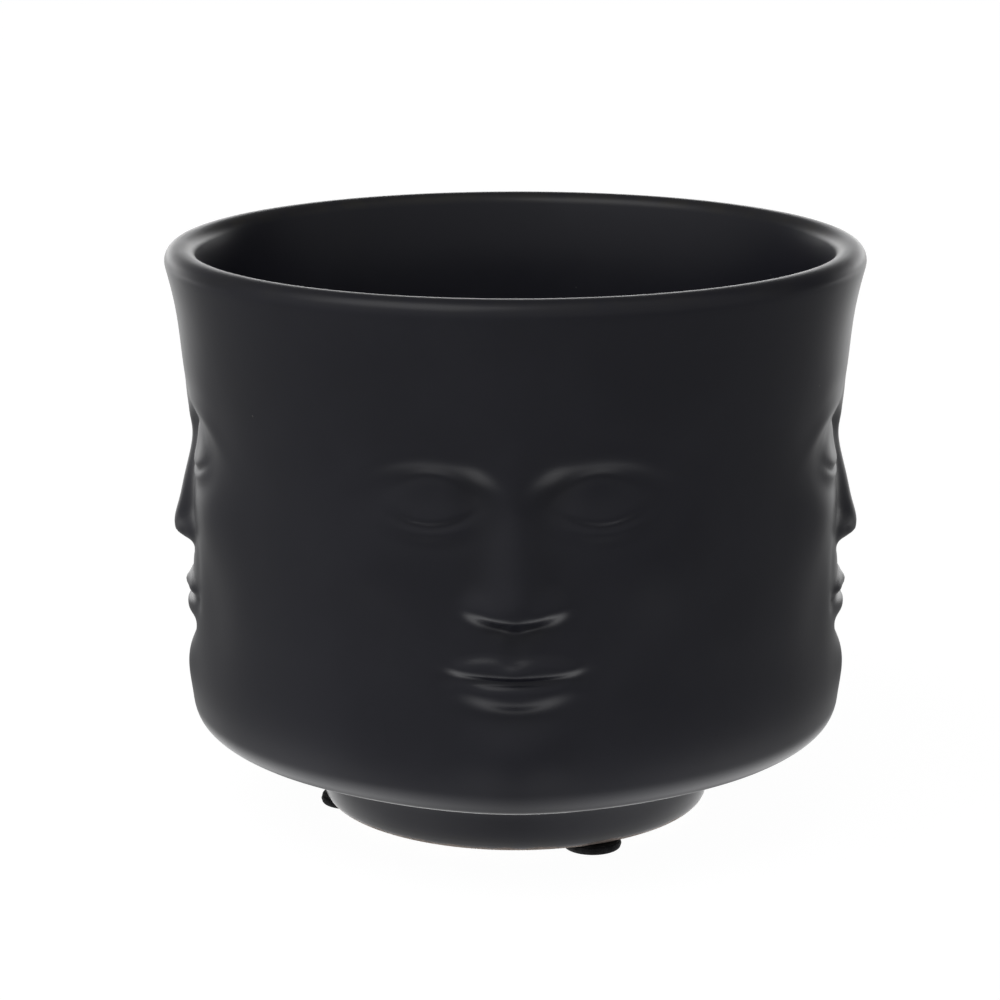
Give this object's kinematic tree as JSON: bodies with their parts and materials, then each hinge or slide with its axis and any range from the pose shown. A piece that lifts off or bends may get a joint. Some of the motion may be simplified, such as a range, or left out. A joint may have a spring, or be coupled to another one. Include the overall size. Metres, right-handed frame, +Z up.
{
  "type": "head planter",
  "caption": "Round ceramic planter with calm faces in low relief around its wall, a flared rim and a small foot ring on stick-on pads.",
  "frame": {"origin": "middle of the plane that the pads stand on, on the pot's axis", "axes": "+Z up along the pot's axis, -Y out of the front face, +X to the right as seen from the front"},
  "size_m": [0.1198, 0.1198, 0.1],
  "materials": {
    "black_glaze": "matte black glaze",
    "pad_foam": "matte black foam rubber",
    "pad_adhesive": "thin black adhesive film"
  },
  "bodies": {
    "root": {"planter_body": "black_glaze", "foot_pad_front_right": "pad_foam", "foot_pad_left": "pad_foam", "foot_pad_back_right": "pad_foam", "pad_adhesive_front_right": "pad_adhesive", "pad_adhesive_left": "pad_adhesive", "pad_adhesive_back_right": "pad_adhesive"}
  },
  "joints": []
}
